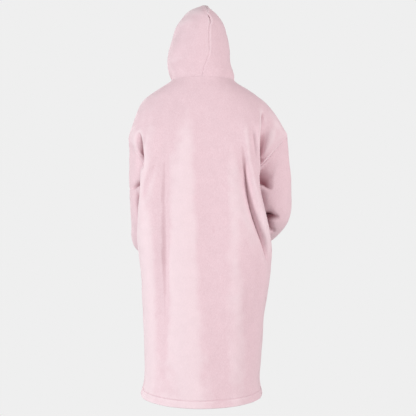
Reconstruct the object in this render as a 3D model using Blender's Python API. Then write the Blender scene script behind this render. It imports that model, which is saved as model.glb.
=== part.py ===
"""Oversized long pullover hoodie in thick fleece, standing open as it does on its wearer, hood up.

Metres, +Z up. The front of the garment faces -Y and its wearer's left is +X. The origin is midway between
the two neck points of the shoulder seams, where the garment hangs on its wearer's shoulders.

Every panel is a grid of points on the cloth's outer face, worked out from sections of the garment. The tables
give those sections in centimetres. A panel's solid is that grid with a wall of cloth behind it.
"""

import math

import bpy
import numpy as np

CM = 0.01
WALL = 0.004
SEAM_GAP = 0.00036
FOLDED = 0.9
SIGN = {"left": 1.0, "right": -1.0}

# Grid of the panels: cells across half of the back and half of the front, and the height of every row.
BACK_CELLS = 12
FRONT_CELLS = 9
HEIGHTS = (-106.2, -103.8, -100, -93, -86, -79, -72, -65, -58, -52, -47, -42, -37,
           -34.3, -31.6, -28.9, -26.2, -23.5, -20.8, -18.2,
           -15.5, -12.5, -9.5, -6.5, -4, -2, 0)
HEM_SAG = 1.2

# The armhole runs from the underarm up to the shoulder tip. Its back and front edges bow apart.
UNDERARM = {"left": (10.8, -4.8, -37.0), "right": (12.2, -4.6, -37.0)}
TIP = {"left": (25.1, -1.0, -20.0), "right": (29.3, -1.0, -18.2)}
ARMHOLE_BOW = {"left": (6.2, 7.6), "right": (5.4, 7.8)}
ARMHOLE_OUT = {"left": 1.3, "right": 0.3}

# Sections of the hanging body. left and right reach from the centre line to the widest point, at side_y.
# squeeze says how far the arms press the sides in: 0 leaves an oval, 1 reaches the points given below.
BODY_COLUMNS = ("height", "left", "right", "side_y", "back_y", "front_y", "squeeze", "back_power")
BODY_SECTIONS = (
    (-106.2, 20.8, 20.5, -0.5, 18.4, -19.2, 0.00, 2.3),
    (-103.8, 20.1, 20.1, -0.5, 18.0, -19.0, 0.00, 2.3),
    (-100.0, 19.5, 19.7, -0.4, 17.6, -18.8, 0.00, 2.3),
    (-94.0, 19.5, 20.1, -0.3, 17.1, -18.6, 0.00, 2.3),
    (-87.0, 19.7, 20.6, -0.1, 16.4, -18.3, 0.00, 2.3),
    (-80.0, 20.0, 21.0, 0.1, 15.8, -18.0, 0.00, 2.3),
    (-72.0, 20.4, 22.2, 0.4, 15.2, -17.5, 0.03, 2.35),
    (-66.0, 20.7, 23.1, 0.8, 14.7, -16.9, 0.12, 2.35),
    (-60.0, 21.3, 23.5, 1.5, 14.2, -16.1, 0.32, 2.4),
    (-55.0, 21.7, 23.4, 2.6, 13.8, -15.3, 0.60, 2.4),
    (-50.0, 21.7, 22.6, 3.9, 13.3, -14.7, 0.85, 2.45),
    (-45.5, 21.4, 21.4, 5.0, 12.9, -14.4, 1.00, 2.5),
    (-41.5, 21.1, 20.2, 6.0, 12.6, -14.3, 1.00, 2.5),
    (-37.0, 20.6, 19.4, 6.8, 12.3, -14.3, 1.00, 2.5),
)
SQUEEZED_CHEST = (10.0, -11.7)
PRESSED_IN = 1.3
OVAL_SEAM = (0.94, 0.34)
OVAL_CHEST = (0.57, 0.82)

# The back between underarm and shoulder tip. share runs from the underarm (0) to the tip (1). The cloth rolls
# over at a ridge, dips into a groove behind the arm and rises over the cap of the sleeve.
FOLD_COLUMNS = ("share", "ridge_x", "ridge_y", "groove_x", "groove_y", "cap_x", "cap_y")
ARMHOLE_FOLD = {
    "left": (
        (0.25, 20.5, 7.2, 18.9, 4.9, 16.8, 3.2),
        (0.50, 20.3, 7.6, 19.6, 5.0, 19.3, 3.9),
        (0.75, 20.0, 8.0, 20.3, 5.4, 21.5, 4.3),
        (1.00, 19.0, 8.8, 21.0, 7.0, 23.4, 4.2),
    ),
    "right": (
        (0.25, 19.2, 7.2, 18.2, 4.8, 16.9, 3.0),
        (0.50, 19.4, 7.5, 18.7, 4.0, 19.4, 2.9),
        (0.75, 19.6, 7.9, 19.7, 4.2, 22.2, 4.0),
        (1.00, 19.8, 8.4, 20.9, 6.0, 24.8, 4.8),
    ),
}
FOLD_TOP = -12.0

# How far the middle of the back and of the front stand from the origin at each height above the underarm.
BACK_CENTRE = ((-37.0, 12.3), (-28.0, 12.3), (-20.0, 12.0), (-15.0, 11.6),
               (-10.0, 10.9), (-6.5, 10.2), (-3.0, 9.3), (0.0, 8.2))
FRONT_CENTRE = ((-37.0, -14.3), (-28.0, -14.0), (-18.2, -13.4), (-10.0, -12.2), (-5.0, -11.1), (0.0, -9.6))

# The deep fold that the bent right arm pulls across the back: its middle line, its depth and its half width.
PULL_COLUMNS = ("height", "across", "depth", "half_width")
PULL_FOLD = (
    (-26.0, 12.0, 0.0, 2.0),
    (-32.0, 13.3, 0.9, 2.0),
    (-38.0, 14.6, 1.9, 2.0),
    (-44.0, 16.4, 2.5, 2.0),
    (-50.0, 18.7, 2.3, 1.9),
    (-56.0, 20.8, 1.6, 1.8),
    (-63.0, 22.8, 0.6, 1.6),
    (-68.0, 23.6, 0.0, 1.6),
)

# How far the shoulder seam reaches from the centre line at each height.
SHOULDER_SEAM = {
    "left": ((-20.0, 25.1), (-17.0, 24.5), (-15.0, 23.8), (-12.9, 23.1), (-10.9, 22.4), (-8.8, 21.6),
             (-6.8, 20.4), (-4.8, 18.6), (-3.4, 16.7), (-1.9, 14.3), (-0.8, 12.2), (0.0, 10.4)),
    "right": ((-18.2, 29.3), (-17.0, 28.6), (-15.0, 27.5), (-12.9, 26.2), (-10.9, 24.8), (-8.8, 23.3),
              (-6.8, 21.5), (-4.6, 18.5), (-3.1, 16.3), (-1.7, 14.1), (-0.8, 12.6), (0.0, 11.0)),
}
SHOULDER_SEAM_Y = -0.6
NECK_BACK_RISE = 0.8
NECK_FRONT_DROP = 7.0

# Sections of each sleeve below the armhole, square to the arm: centre, half width and half depth.
SLEEVE_COLUMNS = ("x", "y", "z", "wide", "deep")
SLEEVE_SECTIONS = {
    "left": (
        (18.8, -6.6, -40.0, 6.3, 8.2),
        (18.4, -8.2, -47.0, 6.2, 7.9),
        (18.3, -13.4, -52.8, 6.6, 7.3),
        (14.2, -18.6, -54.8, 6.0, 5.9),
        (9.8, -23.4, -56.0, 4.7, 4.7),
    ),
    "right": (
        (22.5, -5.8, -38.2, 8.4, 8.3),
        (22.7, -7.2, -43.6, 8.1, 8.0),
        (20.4, -12.4, -48.2, 7.3, 7.3),
        (15.6, -18.4, -51.6, 6.2, 6.1),
        (10.2, -23.2, -53.8, 4.7, 4.7),
    ),
}
SLEEVE_RINGS = 13

# Hood, up: each row runs from the seam at the back of the head round the side to the edge round the face.
# The first row is the neckline and the last lies along the seam over the crown.
HOOD_COLUMNS = ("rise", "seam_y", "seam_z", "left", "right", "side_y", "side_z", "face_x", "face_y", "face_z")
HOOD_SECTIONS = (
    (0.14, 8.9, 3.8, 10.0, 10.9, 0.2, 2.6, 4.4, -10.4, -3.6),
    (0.30, 9.9, 7.8, 11.4, 9.7, 0.4, 6.4, 7.8, -11.2, 1.0),
    (0.50, 10.6, 12.4, 11.0, 9.3, 0.5, 10.4, 9.2, -11.7, 7.4),
    (0.70, 10.6, 16.4, 9.3, 8.3, 0.5, 15.4, 8.4, -12.0, 13.6),
    (0.87, 10.1, 19.4, 7.4, 6.0, 0.5, 20.6, 5.4, -12.5, 18.4),
    (0.94, 9.7, 20.6, 4.7, 3.2, 0.5, 23.6, 3.0, -12.8, 20.2),
    (1.00, 9.2, 21.4, 0.0, 0.0, 0.5, 25.8, 0.0, -13.0, 21.6),
)
HOOD_ROWS = 13
HOOD_TURN = 13.0
FACE_ANGLE = 66.0

COLOUR = (0.83, 0.60, 0.65, 1.0)


def smooth(t):
    t = np.clip(t, 0.0, 1.0)
    return t * t * (3 - 2 * t)


def through(knots, values, at):
    """A smooth curve through values at knots, read at each of the places in at."""
    knots = np.asarray(knots, float)
    values = np.asarray(values, float)
    at = np.asarray(at, float)
    shape = (-1,) + (1,) * (values.ndim - 1)
    steps = np.diff(knots).reshape(shape)
    slopes = np.diff(values, axis=0) / steps
    inner = (slopes[:-1] * steps[1:] + slopes[1:] * steps[:-1]) / (steps[:-1] + steps[1:])
    tangents = np.concatenate([slopes[:1], inner, slopes[-1:]])
    i = np.clip(np.searchsorted(knots, at, "right") - 1, 0, len(knots) - 2)
    h = steps[i]
    s = ((at - knots[i]).reshape(shape)) / h
    a = values[i] * (1 + 2 * s) * (1 - s) ** 2 + values[i + 1] * s * s * (3 - 2 * s)
    return a + h * s * (1 - s) * (tangents[i] * (1 - s) - tangents[i + 1] * s)


def column(table, names, name):
    return [row[names.index(name)] for row in table]


def section(name, height):
    return float(through(column(BODY_SECTIONS, BODY_COLUMNS, "height"),
                         column(BODY_SECTIONS, BODY_COLUMNS, name), [height])[0])


def quarter(start, end, angles, power):
    """Points on a quarter of a rounded oval from start, on the centre line, to end, at the side."""
    across = np.sin(angles) ** (2 / power)
    back = np.cos(angles) ** (2 / power)
    return np.stack([end[0] * across, end[1] + (start[1] - end[1]) * back], axis=1)


def armhole_point(side, share, face):
    low = np.array(UNDERARM[side])
    high = np.array(TIP[side])
    bow = ARMHOLE_BOW[side][0] if face == "back" else -ARMHOLE_BOW[side][1]
    point = low + (high - low) * share
    point[1] += bow * math.sin(math.pi * share)
    point[0] += ARMHOLE_OUT[side] * math.sin(math.pi * share)
    return point


def edge_point(side, height, face):
    """Where a panel ends at the side: on the side seam, the armhole or the shoulder seam."""
    low = UNDERARM["right"][2]
    high = TIP["right"][2]
    if height < low:
        reach = section(side, height)
        side_y = section("side_y", height)
        squeeze = section("squeeze", height)
        front = section("front_y", height)
        oval = np.array((reach * OVAL_SEAM[0], side_y + (front - side_y) * OVAL_SEAM[1]))
        spot = oval + (np.array(UNDERARM[side][:2]) - oval) * squeeze
        return np.array((spot[0], spot[1], height))
    if height <= high:
        return armhole_point(side, (height - low) / (high - low), face)
    lowered = height + (TIP[side][2] - high) * float(smooth(height / high))
    seam = SHOULDER_SEAM[side]
    reach = np.interp(lowered, [row[0] for row in seam], [row[1] for row in seam])
    y = SHOULDER_SEAM_Y + (TIP[side][1] - SHOULDER_SEAM_Y) * (height / high)
    return np.array((reach, y, lowered))


def back_controls(side, height):
    """Control points of half a section of the back, from centre back to the panel's edge."""
    edge = edge_point(side, height, "back")
    low = UNDERARM["right"][2]
    high = TIP["right"][2]
    angles = np.radians((0, 22.5, 45, 67.5, 90))
    if height <= low:
        centre = (0.0, section("back_y", height))
        power = section("back_power", height)
        widest = np.array((section(side, height), section("side_y", height)))
        chest = chest_point(side, height)
        d = np.hypot(*(edge[:2] - widest))
        pull = d * (1 - 0.6 * section("squeeze", height))
        leave = np.array((0.0, -pull))
        arrive = chest - widest
        arrive = arrive / np.hypot(*arrive) * pull
        s = np.array(((1 / 3,), (2 / 3,)))
        between = (widest * (1 + 2 * s) * (1 - s) ** 2 + edge[:2] * s * s * (3 - 2 * s)
                   + s * (1 - s) * (leave * (1 - s) - arrive * s))
        away = np.array((edge[1] - widest[1], widest[0] - edge[0])) / d
        between = between + away * PRESSED_IN * section("squeeze", height)
        arc = quarter(centre, widest, angles, power)
    else:
        centre = (0.0, float(through([r[0] for r in BACK_CENTRE], [r[1] for r in BACK_CENTRE], [height])[0]))
        start = back_controls(side, low)[4:7, :2].reshape(-1)
        rows = [tuple(start)] + [row[1:] for row in ARMHOLE_FOLD[side]]
        share = min((height - low) / (high - low), 1.0)
        marks = through([0.0] + [row[0] for row in ARMHOLE_FOLD[side]], rows, [share])[0].reshape(3, 2)
        arc = quarter(centre, marks[0], angles, 2.5)
        between = marks[1:]
    points = np.concatenate([arc, between, edge[None, :2]])
    if height > high:
        plain = quarter(centre, edge, np.radians((0, 13, 26, 39, 52, 65, 77.5, 90)), 2.15)
        points = points + (plain - points) * float(smooth((height - high) / (FOLD_TOP - high)))
    heights = height + (edge[2] - height) * (points[:, 0] / edge[0]) ** 2
    rise = NECK_BACK_RISE * float(np.clip(1 + height / 10, 0, 1))
    sag = HEM_SAG * float(smooth((-90 - height) / 16.6))
    heights = heights + (rise - sag) * (1 - (points[:, 0] / edge[0]) ** 2)
    return np.column_stack([points, heights])


def chest_point(side, height):
    """The control point of the front between its edge and the centre line."""
    front = section("front_y", height)
    side_y = section("side_y", height)
    oval = np.array((section(side, height) * OVAL_CHEST[0], side_y + (front - side_y) * OVAL_CHEST[1]))
    return oval + (np.array(SQUEEZED_CHEST) - oval) * section("squeeze", height)


def front_controls(side, height):
    """Control points of half a section of the front, from the panel's edge to centre front."""
    edge = edge_point(side, height, "front")
    low = UNDERARM["right"][2]
    if height <= low:
        centre = np.array((0.0, section("front_y", height)))
        chest = chest_point(side, height)
    else:
        y = float(through([r[0] for r in FRONT_CENTRE], [r[1] for r in FRONT_CENTRE], [height])[0])
        centre = np.array((0.0, y))
        free = np.array((edge[0] * 0.62, edge[1] + (y - edge[1]) * 0.80))
        chest = np.array(SQUEEZED_CHEST)
        chest = chest + (free - chest) * float(smooth((height - low) / 16))
    mirrored = np.array((-chest[0], chest[1]))
    knots = np.concatenate([[0], np.cumsum([np.hypot(*(chest - edge[:2])), np.hypot(*(centre - chest)),
                                            np.hypot(*(mirrored - centre))])])
    at = np.concatenate([np.linspace(0, knots[1], 4), np.linspace(knots[1], knots[2], 4)[1:]])
    points = through(knots, np.array([edge[:2], chest, centre, mirrored]), at)
    share = (points[:, 0] / edge[0]) ** 2
    heights = height + (edge[2] - height) * share
    drop = NECK_FRONT_DROP * float(np.clip(1 + height / 18.2, 0, 1))
    sag = HEM_SAG * float(smooth((-90 - height) / 16.6))
    heights = heights - (drop + sag) * (1 - share)
    return np.column_stack([points, heights])


def half_rows(controls, side, columns):
    """Half a panel in the garment's own frame: every row's control points, read at the given columns."""
    rows = []
    for height in HEIGHTS:
        points = controls(side, height)
        knots = np.linspace(0, 1, len(points))
        rows.append(through(knots, points, columns))
    grid = np.array(rows)
    grid[:, :, 0] *= SIGN[side]
    return grid


def pulled_in(grid):
    """The right half of the back with the pull fold pressed into it."""
    falls = [-row[0] for row in PULL_FOLD]
    for point in (point for row in grid for point in row[:-2]):
        if falls[0] < -point[2] < falls[-1]:
            across, depth, half_width = through(falls, [row[1:] for row in PULL_FOLD], [-point[2]])[0]
            press = depth * math.exp(-((point[0] + across) / half_width) ** 2)
            outward = np.array((point[0] * 0.5, point[1], 0.0))
            point -= outward / np.linalg.norm(outward) * press
    return grid


def body_grids():
    columns = np.linspace(0, 1, BACK_CELLS + 1)
    left = half_rows(back_controls, "left", columns)
    right = pulled_in(half_rows(back_controls, "right", columns))
    back = np.concatenate([left[:, ::-1], right[:, 1:]], axis=1)
    columns = np.linspace(0, 1, FRONT_CELLS + 1)
    left = half_rows(front_controls, "left", columns)
    right = half_rows(front_controls, "right", columns)
    front = np.concatenate([right, left[:, ::-1][:, 1:]], axis=1)
    return back, front


def sleeve_grid(side, armhole):
    """Rings from the armhole's loop, through the sleeve's sections, to its open end."""
    mirror = np.array((SIGN[side], 1, 1))
    loop = armhole * mirror
    count = len(loop)
    centre = loop.mean(axis=0)
    centres = np.array([centre] + [row[:3] for row in SLEEVE_SECTIONS[side]])
    low = np.array(UNDERARM[side])
    high = np.array(TIP[side])
    share = np.clip((loop[:, 2] - low[2]) / (high[2] - low[2]), 0, 1)
    turn = np.arccos(1 - 2 * share)
    half = count // 2
    even = np.concatenate([np.arange(half + 1), half - np.arange(1, half)]) * math.pi / half
    toward_back = np.where(np.arange(count) <= half, -1.0, 1.0)
    outward = np.array((1.0, 0.0, 0.0))
    loops = [loop]
    for i, row in enumerate(SLEEVE_SECTIONS[side], start=1):
        ahead = centres[min(i + 1, len(centres) - 1)] - centres[i - 1]
        if i == 1:
            ahead = centres[2] - centres[1] + (0.15, 0.0, 0.0)
        ahead = ahead / np.linalg.norm(ahead)
        outward = outward - ahead * outward.dot(ahead)
        outward = outward / np.linalg.norm(outward)
        forward = np.cross(ahead, outward)
        angle = turn + (even - turn) * min(1.0, i / 3)
        ring = (centres[i] - np.cos(angle)[:, None] * row[3] * outward
                + (np.sin(angle) * toward_back)[:, None] * row[4] * forward)
        loops.append(ring)
    loops = np.array(loops)
    steps = np.linalg.norm(np.diff(loops, axis=0), axis=2).mean(axis=1)
    knots = np.concatenate([[0], np.cumsum(steps)])
    grid = through(knots, loops, np.linspace(0, knots[-1], SLEEVE_RINGS + 1))
    return grid * mirror


def hood_grid(side, neckline):
    """Rows from the neckline up to the seam over the crown, each from centre back to the face edge."""
    mirror = np.array((SIGN[side], 1, 1))
    rows = [neckline]
    for row in HOOD_SECTIONS:
        r = dict(zip(HOOD_COLUMNS, row))
        reach = r["left"] if side == "left" else r["right"]
        angle = np.linspace(0, math.pi / 2, BACK_CELLS + 1)
        rear = np.column_stack([reach * np.sin(angle),
                                r["side_y"] + (r["seam_y"] - r["side_y"]) * np.cos(angle),
                                r["seam_z"] + (r["side_z"] - r["seam_z"]) * np.sin(angle)])
        limit = math.radians(FACE_ANGLE)
        angle = np.linspace(0, limit, FRONT_CELLS + 1)[1:]
        fall = (1 - np.cos(angle)) / (1 - math.cos(limit))
        fore = np.column_stack([reach + (r["face_x"] - reach) * fall,
                                r["side_y"] + (r["face_y"] - r["side_y"]) * np.sin(angle) / math.sin(limit),
                                r["side_z"] + (r["face_z"] - r["side_z"]) * fall])
        points = np.concatenate([rear, fore]) * mirror
        turn = math.radians(HOOD_TURN) * float(smooth(row[0] / 0.32))
        x = points[:, 0] * math.cos(turn) - points[:, 1] * math.sin(turn)
        y = points[:, 0] * math.sin(turn) + points[:, 1] * math.cos(turn)
        rows.append(np.column_stack([x, y, points[:, 2]]))
    knots = [0.0] + [row[0] for row in HOOD_SECTIONS]
    return through(knots, np.array(rows), np.linspace(0, 1, HOOD_ROWS + 1))


def face_normals(grid, closed):
    """Outward normals and areas of a grid's cells, for a grid whose columns run clockwise seen from above."""
    ahead = np.concatenate([grid, grid[:, :1]], axis=1) if closed else grid
    a = ahead[1:, 1:] - ahead[:-1, :-1]
    b = ahead[1:, :-1] - ahead[:-1, 1:]
    return np.cross(a, b)


def vertex_normals(grids):
    """One normal at every point of the outer faces, shared wherever panels meet."""
    total = {}
    for grid, closed, sign in grids.values():
        for point, normal in zip(grid.reshape(-1, 3), own_normals(grid, closed, sign).reshape(-1, 3)):
            key = tuple(np.round(point, 4))
            total[key] = total.get(key, 0) + normal
    found = {}
    for name, (grid, closed, sign) in grids.items():
        normals = np.array([[total[tuple(np.round(p, 4))] for p in row] for row in grid])
        own = own_normals(grid, closed, sign)
        edges = [(0, 1, 0), (-1, -2, 0)] + ([] if closed else [(0, 1, 1), (-1, -2, 1)])
        for edge, inner, axis in edges:
            there = (edge,) if axis == 0 else (slice(None), edge)
            beside = (inner,) if axis == 0 else (slice(None), inner)
            other = normals[there] - own[there]
            into = grid[beside] - grid[there]
            facing = np.einsum("ij,ij->i", other, into) > 0
            mine = own[there] / np.linalg.norm(own[there], axis=1, keepdims=True)
            both = normals[there] / np.linalg.norm(normals[there], axis=1, keepdims=True)
            alike = np.einsum("ij,ij->i", mine, both)
            share = np.where(facing, np.clip((FOLDED - alike) * 4, 0, 1), 0)[:, None]
            normals[there] = both * (1 - share) + mine * share
        found[name] = normals / np.linalg.norm(normals, axis=2, keepdims=True)
    return found


def own_normals(grid, closed, sign):
    """The sum of the normals of each point's own cells."""
    faces = face_normals(grid, closed) * sign
    rows, cols = grid.shape[:2]
    total = np.zeros((rows, cols, 3))
    width = faces.shape[1]
    for di in (0, 1):
        for dj in (0, 1):
            columns = (np.arange(width) + dj) % cols
            total[di:di + rows - 1, columns] += faces
    return total


def drawn_in(layer, closed, by):
    """The layer with its free edges moved inward along the cloth."""
    moved = layer.copy()
    for edge, inner in ((0, 1), (-1, -2)):
        step = layer[inner] - layer[edge]
        moved[edge] += step / np.linalg.norm(step, axis=1, keepdims=True) * by
        if not closed:
            step = layer[:, inner] - layer[:, edge]
            moved[:, edge] += step / np.linalg.norm(step, axis=1, keepdims=True) * by
    return moved


def add_cloth(name, grid, normals, closed):
    outer = drawn_in(grid * CM, closed, SEAM_GAP / 2)
    inner = drawn_in(grid * CM - normals * WALL, closed, SEAM_GAP / 2)
    rows, cols = grid.shape[:2]
    count = rows * cols
    faces = []
    width = cols if closed else cols - 1
    for i in range(rows - 1):
        for j in range(width):
            k = (j + 1) % cols
            a, b, c, d = i * cols + j, i * cols + k, (i + 1) * cols + k, (i + 1) * cols + j
            faces += [(a, b, c), (a, c, d)]
            faces += [(a + count, c + count, b + count), (a + count, d + count, c + count)]
    for j in range(width):
        k = (j + 1) % cols
        top = (rows - 1) * cols
        faces += [(j, j + count, k + count), (j, k + count, k)]
        faces += [(top + j, top + k + count, top + j + count), (top + j, top + k, top + k + count)]
    if not closed:
        for i in range(rows - 1):
            a, b = i * cols, (i + 1) * cols
            faces += [(a, b + count, a + count), (a, b, b + count)]
            a, b = a + cols - 1, b + cols - 1
            faces += [(a, a + count, b + count), (a, b + count, b)]
    points = np.concatenate([outer.reshape(-1, 3), inner.reshape(-1, 3)])
    corners = points[np.array(faces)]
    volume = np.einsum("ij,ij->i", corners[:, 0], np.cross(corners[:, 1], corners[:, 2])).sum()
    if volume < 0:
        faces = [face[::-1] for face in faces]
    mesh = bpy.data.meshes.new(name)
    mesh.from_pydata(points.tolist(), [], faces)
    mesh.update()
    thing = bpy.data.objects.new(name, mesh)
    bpy.context.scene.collection.objects.link(thing)
    material = bpy.data.materials.new(name)
    material.use_nodes = True
    shader = material.node_tree.nodes["Principled BSDF"]
    shader.inputs["Base Color"].default_value = COLOUR
    shader.inputs["Roughness"].default_value = 0.95
    mesh.materials.append(material)


def outer_grids():
    """Every panel's outer face: its grid, whether it closes on itself, and which way its normals turn."""
    back, front = body_grids()
    low = HEIGHTS.index(-37)
    high = HEIGHTS.index(-18.2)
    holes = {
        "left": np.concatenate([back[low:high + 1, 0], front[low + 1:high, -1][::-1]]),
        "right": np.concatenate([back[low:high + 1, -1], front[low + 1:high, 0][::-1]]),
    }
    middle = BACK_CELLS
    necks = {
        "left": np.concatenate([back[-1, :middle + 1][::-1], front[-1, FRONT_CELLS:][::-1][1:]]),
        "right": np.concatenate([back[-1, middle:], front[-1, :FRONT_CELLS + 1][1:]]),
    }
    return {
        "back_panel": (back, False, 1.0),
        "front_panel": (front, False, 1.0),
        "sleeve_left": (sleeve_grid("left", holes["left"]), True, 1.0),
        "sleeve_right": (sleeve_grid("right", holes["right"]), True, -1.0),
        "hood_left": (hood_grid("left", necks["left"]), False, -1.0),
        "hood_right": (hood_grid("right", necks["right"]), False, 1.0),
    }


def main():
    for thing in list(bpy.data.objects):
        bpy.data.objects.remove(thing, do_unlink=True)
    grids = outer_grids()
    normals = vertex_normals(grids)
    for name, (grid, closed, sign) in grids.items():
        add_cloth(name, grid, normals[name], closed)


main()
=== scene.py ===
"""An oversized, calf-length hoodie in thick pink fleece, standing open as it does on its wearer.

Six cut pieces of cloth, and the thread that holds them: back, front, two sleeves and a hood of two halves.
The tables give their sections in centimetres, from midway between the neck ends of the shoulder seams. The
front of the garment faces -Y and its wearer's left is +X.
"""
import math

import bpy
import numpy as np
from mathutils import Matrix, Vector, noise


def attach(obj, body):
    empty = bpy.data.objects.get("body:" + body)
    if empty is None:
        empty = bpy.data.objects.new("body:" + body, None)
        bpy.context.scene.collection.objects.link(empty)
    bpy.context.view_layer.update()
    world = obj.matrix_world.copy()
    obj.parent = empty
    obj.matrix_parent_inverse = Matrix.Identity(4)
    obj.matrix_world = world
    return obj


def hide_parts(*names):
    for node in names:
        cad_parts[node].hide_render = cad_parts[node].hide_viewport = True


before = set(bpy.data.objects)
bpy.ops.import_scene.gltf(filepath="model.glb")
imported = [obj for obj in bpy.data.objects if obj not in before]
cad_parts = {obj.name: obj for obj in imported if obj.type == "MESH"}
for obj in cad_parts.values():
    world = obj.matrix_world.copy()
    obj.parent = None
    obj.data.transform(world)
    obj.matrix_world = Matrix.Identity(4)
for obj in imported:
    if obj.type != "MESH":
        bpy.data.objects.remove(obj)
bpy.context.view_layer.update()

# BACK PANEL
# One wide piece of thick brushed fleece, cut with dropped shoulders, so that it reaches out over the upper
# arms. It is sewn to the front down the sides and along the shoulders, and hangs free from the shoulder
# blades. The bent arms pull its sides forward and roll it over behind the armholes.
CM = 0.01
FLEECE_THICKNESS = 0.35
ROW_HEIGHTS = (-106.2, -103.8, -100, -93, -86, -79, -72, -65, -58, -52, -47, -42, -37,
               -34.3, -31.6, -28.9, -26.2, -23.5, -20.8, -18.2,
               -15.5, -12.5, -9.5, -6.5, -4, -2, 0)
UNDERARM_ROW = ROW_HEIGHTS.index(-37)
TIP_ROW = ROW_HEIGHTS.index(-18.2)
NECK_ROW = ROW_HEIGHTS.index(0)
HEM_SAG = 1.2
UNDERARM = {"left": (10.8, -4.8, -37.0), "right": (12.2, -4.6, -37.0)}
SHOULDER_TIP = {"left": (25.1, -1.0, -20.0), "right": (29.3, -1.0, -18.2)}
ARMHOLE_BOW = {"left": (6.2, 7.6), "right": (5.4, 7.8)}
ARMHOLE_OUT = {"left": 1.3, "right": 0.3}
WORLD_X = {"left": 1.0, "right": -1.0}

BODY_COLUMNS = ("height", "left", "right", "side_y", "back_y", "front_y", "squeeze", "back_power")
BODY_SECTIONS = (
    (-106.2, 20.8, 20.5, -0.5, 18.4, -19.2, 0.00, 2.3),
    (-103.8, 20.1, 20.1, -0.5, 18.0, -19.0, 0.00, 2.3),
    (-100.0, 19.5, 19.7, -0.4, 17.6, -18.8, 0.00, 2.3),
    (-94.0, 19.5, 20.1, -0.3, 17.1, -18.6, 0.00, 2.3),
    (-87.0, 19.7, 20.6, -0.1, 16.4, -18.3, 0.00, 2.3),
    (-80.0, 20.0, 21.0, 0.1, 15.8, -18.0, 0.00, 2.3),
    (-72.0, 20.4, 22.2, 0.4, 15.2, -17.5, 0.03, 2.35),
    (-66.0, 20.7, 23.1, 0.8, 14.7, -16.9, 0.12, 2.35),
    (-60.0, 21.3, 23.5, 1.5, 14.2, -16.1, 0.32, 2.4),
    (-55.0, 21.7, 23.4, 2.6, 13.8, -15.3, 0.60, 2.4),
    (-50.0, 21.7, 22.6, 3.9, 13.3, -14.7, 0.85, 2.45),
    (-45.5, 21.4, 21.4, 5.0, 12.9, -14.4, 1.00, 2.5),
    (-41.5, 21.1, 20.2, 6.0, 12.6, -14.3, 1.00, 2.5),
    (-37.0, 20.6, 19.4, 6.8, 12.3, -14.3, 1.00, 2.5),
)
PRESSED_IN = 1.3
OVAL_SEAM = (0.94, 0.34)
OVAL_CHEST = (0.57, 0.82)
SQUEEZED_CHEST = (10.0, -11.7)
# Each row: share of the armhole's height, then x and y of the ridge, of the groove and of the shoulder cap.
BEHIND_ARM = {
    "left": (
        (0.25, 20.5, 7.2, 18.9, 4.9, 16.8, 3.2),
        (0.50, 20.3, 7.6, 19.6, 5.0, 19.3, 3.9),
        (0.75, 20.0, 8.0, 20.3, 5.4, 21.5, 4.3),
        (1.00, 19.0, 8.8, 21.0, 7.0, 23.4, 4.2),
    ),
    "right": (
        (0.25, 19.2, 7.2, 18.2, 4.8, 16.9, 3.0),
        (0.50, 19.4, 7.5, 18.7, 4.0, 19.4, 2.9),
        (0.75, 19.6, 7.9, 19.7, 4.2, 22.2, 4.0),
        (1.00, 19.8, 8.4, 20.9, 6.0, 24.8, 4.8),
    ),
}
FOLD_TOP = -12.0
BACK_CENTRE = ((-37.0, 12.3), (-28.0, 12.3), (-20.0, 12.0), (-15.0, 11.6),
               (-10.0, 10.9), (-6.5, 10.2), (-3.0, 9.3), (0.0, 8.2))
SHOULDER_SEAM = {
    "left": ((-20.0, 25.1), (-17.0, 24.5), (-15.0, 23.8), (-12.9, 23.1), (-10.9, 22.4), (-8.8, 21.6),
             (-6.8, 20.4), (-4.8, 18.6), (-3.4, 16.7), (-1.9, 14.3), (-0.8, 12.2), (0.0, 10.4)),
    "right": ((-18.2, 29.3), (-17.0, 28.6), (-15.0, 27.5), (-12.9, 26.2), (-10.9, 24.8), (-8.8, 23.3),
              (-6.8, 21.5), (-4.6, 18.5), (-3.1, 16.3), (-1.7, 14.1), (-0.8, 12.6), (0.0, 11.0)),
}
SHOULDER_SEAM_Y = -0.6
NAPE_RISE = 0.8
# Where the cloth is heading above the neckline, in the hood: depth and height at the nape, how far it
# reaches to each side, and depth and height there.
ABOVE_NECK = {"nape": (8.9, 3.8), "left": 10.0, "right": 10.9, "side": (0.2, 2.6)}


def smooth(t):
    t = np.clip(t, 0.0, 1.0)
    return t * t * (3 - 2 * t)


def through(knots, values, at):
    """A smooth curve through values at knots, read at each of the places in at."""
    knots = np.asarray(knots, float)
    values = np.asarray(values, float)
    at = np.asarray(at, float)
    shape = (-1,) + (1,) * (values.ndim - 1)
    steps = np.diff(knots).reshape(shape)
    slopes = np.diff(values, axis=0) / steps
    inner = (slopes[:-1] * steps[1:] + slopes[1:] * steps[:-1]) / (steps[:-1] + steps[1:])
    tangents = np.concatenate([slopes[:1], inner, slopes[-1:]])
    i = np.clip(np.searchsorted(knots, at, "right") - 1, 0, len(knots) - 2)
    h = steps[i]
    s = (at - knots[i]).reshape(shape) / h
    a = values[i] * (1 + 2 * s) * (1 - s) ** 2 + values[i + 1] * s * s * (3 - 2 * s)
    return a + h * s * (1 - s) * (tangents[i] * (1 - s) - tangents[i + 1] * s)


def body_size(name, height):
    at = BODY_COLUMNS.index(name)
    return float(through([row[0] for row in BODY_SECTIONS], [row[at] for row in BODY_SECTIONS], [height])[0])


def quarter(start, end, angles, power):
    """Points on a quarter of a rounded oval, from start on the centre line to end at the side."""
    across = np.sin(angles) ** (2 / power)
    back = np.cos(angles) ** (2 / power)
    return np.stack([end[0] * across, end[1] + (start[1] - end[1]) * back], axis=1)


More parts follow.
